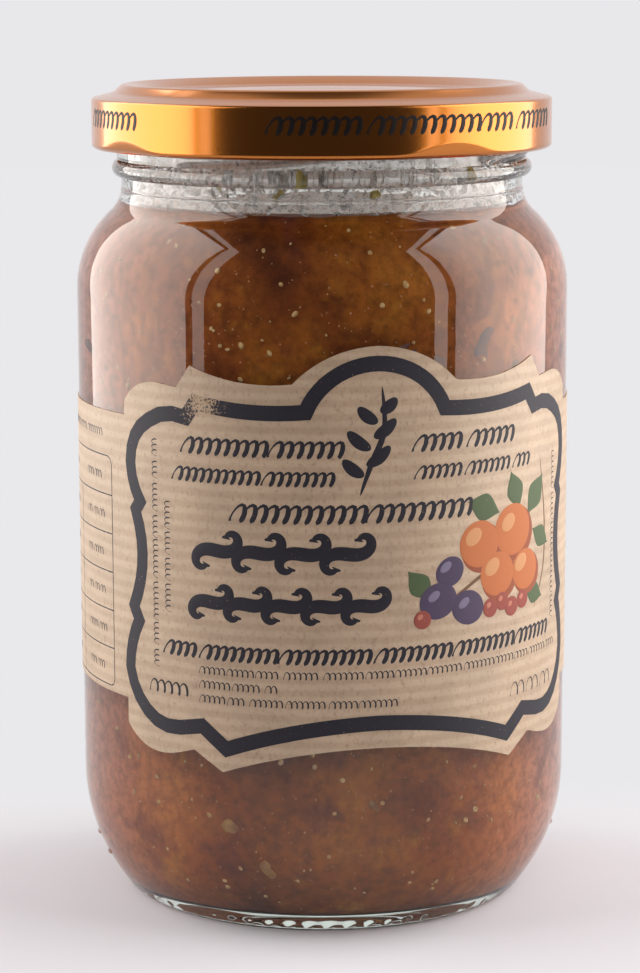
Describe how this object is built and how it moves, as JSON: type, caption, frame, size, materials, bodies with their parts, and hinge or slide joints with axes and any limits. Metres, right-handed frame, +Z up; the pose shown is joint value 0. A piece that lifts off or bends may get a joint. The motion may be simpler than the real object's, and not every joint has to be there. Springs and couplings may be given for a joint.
{
  "type": "jar of mixed fruit jam",
  "caption": "Shut round glass jam jar with a domed shoulder, a gold twist-off lid and a shaped kraft paper label, filled with dark mixed fruit jam.",
  "frame": {"origin": "on the table, under the middle of the jar", "axes": "+Z up along the jar's axis; -Y is the front, with the middle of the label's panel turned 12 degrees from it towards +X"},
  "size_m": [0.0708, 0.0708, 0.1167],
  "materials": {
    "glass": "clear soda-lime container glass",
    "jam": "wet, dark amber brown fruit jam",
    "lid_metal": "gold lacquered tinplate, gloss",
    "label_paper": "ribbed kraft paper, matt"
  },
  "bodies": {
    "root": {"glass_jar": "glass", "jam": "jam", "lid": "lid_metal", "label": "label_paper"}
  },
  "joints": []
}
